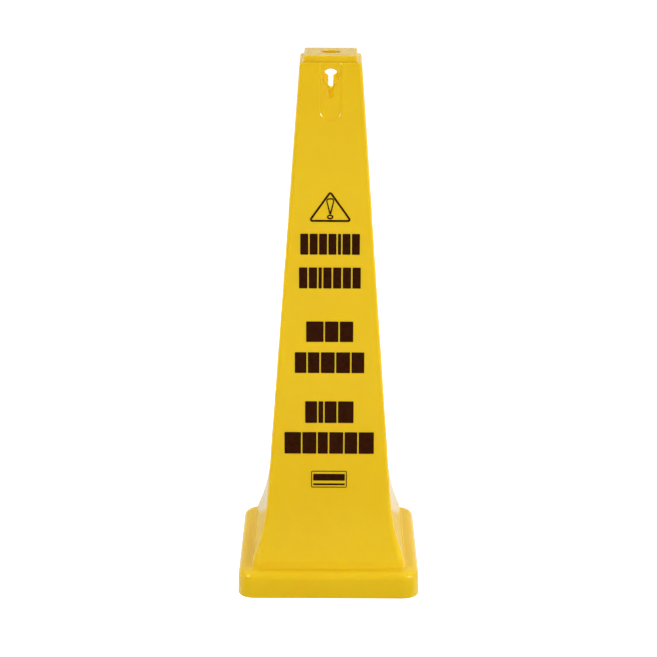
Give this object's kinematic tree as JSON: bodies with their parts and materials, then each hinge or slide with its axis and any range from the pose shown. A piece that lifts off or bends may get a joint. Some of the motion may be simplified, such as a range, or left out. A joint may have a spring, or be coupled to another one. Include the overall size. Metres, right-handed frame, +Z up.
{
  "type": "wet floor sign",
  "caption": "Tall hollow square floor safety cone that stands free and stacks, with a printed warning set on each face and a through keyhole near the top of each face.",
  "frame": {"origin": "middle of the square base, on the floor", "axes": "+Z up along the cone's axis, front face towards -Y, right face towards +X"},
  "size_m": [0.311, 0.311, 0.9144],
  "materials": {
    "yellow_plastic": "semi-gloss moulded yellow plastic",
    "dark_ink": "printed dark brown-black ink film"
  },
  "bodies": {
    "root": {"cone_shell": "yellow_plastic", "front_hazard_symbol": "dark_ink", "front_heading_print": "dark_ink", "front_message_print": "dark_ink", "front_translation_print": "dark_ink", "front_label_print": "dark_ink", "right_hazard_symbol": "dark_ink", "right_heading_print": "dark_ink", "right_message_print": "dark_ink", "right_translation_print": "dark_ink", "right_label_print": "dark_ink", "back_hazard_symbol": "dark_ink", "back_heading_print": "dark_ink", "back_message_print": "dark_ink", "back_translation_print": "dark_ink", "back_label_print": "dark_ink", "left_hazard_symbol": "dark_ink", "left_heading_print": "dark_ink", "left_message_print": "dark_ink", "left_translation_print": "dark_ink", "left_label_print": "dark_ink"}
  },
  "joints": []
}
